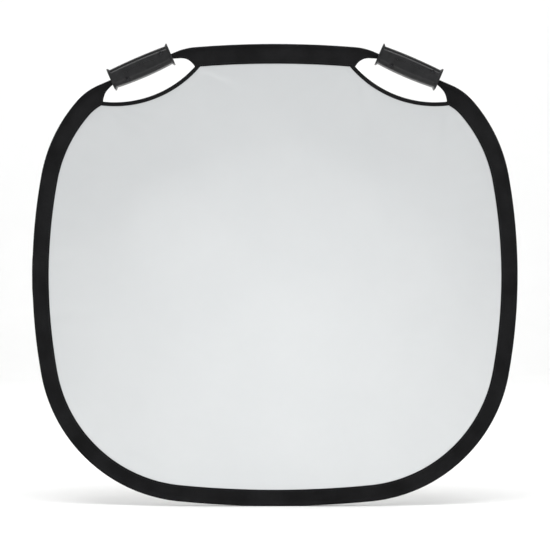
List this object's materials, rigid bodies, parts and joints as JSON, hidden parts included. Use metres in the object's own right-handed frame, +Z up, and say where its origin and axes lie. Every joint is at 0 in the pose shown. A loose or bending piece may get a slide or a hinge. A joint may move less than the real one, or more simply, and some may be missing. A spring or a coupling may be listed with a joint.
{
  "type": "collapsible reflector disc",
  "caption": "Hand-held light reflector: silver cloth on a sprung hoop that folds in half, with a white back and moulded handles over openings in its upper corners.",
  "frame": {"origin": "middle of the disc, in its own plane", "axes": "+X to the right and +Z up as seen from the silver face, which looks along -Y"},
  "size_m": [0.84, 0.0324, 0.8],
  "materials": {
    "silver_cloth": "satin silver coated cloth",
    "white_cloth": "matt white cloth",
    "binding_tape": "matt black woven tape",
    "spring_steel": "blued spring steel strip",
    "handle_plastic": "fine-grained dark grey moulding",
    "screw_steel": "black zinc"
  },
  "bodies": {
    "centre": {"hoop_band_centre": "spring_steel", "rim_tape_centre": "binding_tape", "silver_face_centre": "silver_cloth", "white_back_centre": "white_cloth"},
    "left_strip": {"hoop_band_left_inner": "spring_steel", "rim_tape_left_inner": "binding_tape", "silver_face_left_inner": "silver_cloth", "white_back_left_inner": "white_cloth"},
    "right_strip": {"hoop_band_right_inner": "spring_steel", "rim_tape_right_inner": "binding_tape", "silver_face_right_inner": "silver_cloth", "white_back_right_inner": "white_cloth"},
    "left_wing": {"hoop_band_left": "spring_steel", "rim_tape_left": "binding_tape", "silver_face_left": "silver_cloth", "white_back_left": "white_cloth", "band_ferrule": "spring_steel", "opening_tape_left": "binding_tape", "handle_left_front": "handle_plastic", "handle_left_back": "handle_plastic", "handle_screws_left": "screw_steel"},
    "right_wing": {"hoop_band_right": "spring_steel", "rim_tape_right": "binding_tape", "silver_face_right": "silver_cloth", "white_back_right": "white_cloth", "opening_tape_right": "binding_tape", "handle_right_front": "handle_plastic", "handle_right_back": "handle_plastic", "handle_screws_right": "screw_steel"}
  },
  "joints": [
    {"name": "fold_left_inner", "type": "hinge", "parent": "centre", "child": "left_strip", "pos_m": [-0.0375, 0, 0], "axis": [0, 0, 1], "range_deg": [-45, 45], "stiffness_Nm_per_rad": 2},
    {"name": "fold_left_outer", "type": "hinge", "parent": "left_strip", "child": "left_wing", "pos_m": [-0.1125, 0, 0], "axis": [0, 0, 1], "range_deg": [-45, 45], "stiffness_Nm_per_rad": 2},
    {"name": "fold_right_inner", "type": "hinge", "parent": "centre", "child": "right_strip", "pos_m": [0.0375, 0, 0], "axis": [0, 0, 1], "range_deg": [-45, 45], "stiffness_Nm_per_rad": 2},
    {"name": "fold_right_outer", "type": "hinge", "parent": "right_strip", "child": "right_wing", "pos_m": [0.1125, 0, 0], "axis": [0, 0, 1], "range_deg": [-45, 45], "stiffness_Nm_per_rad": 2}
  ],
  "couplings": [
    {"joint": "fold_left_outer", "follows": "fold_left_inner", "ratio": 1},
    {"joint": "fold_right_inner", "follows": "fold_left_inner", "ratio": -1},
    {"joint": "fold_right_outer", "follows": "fold_left_inner", "ratio": -1}
  ]
}
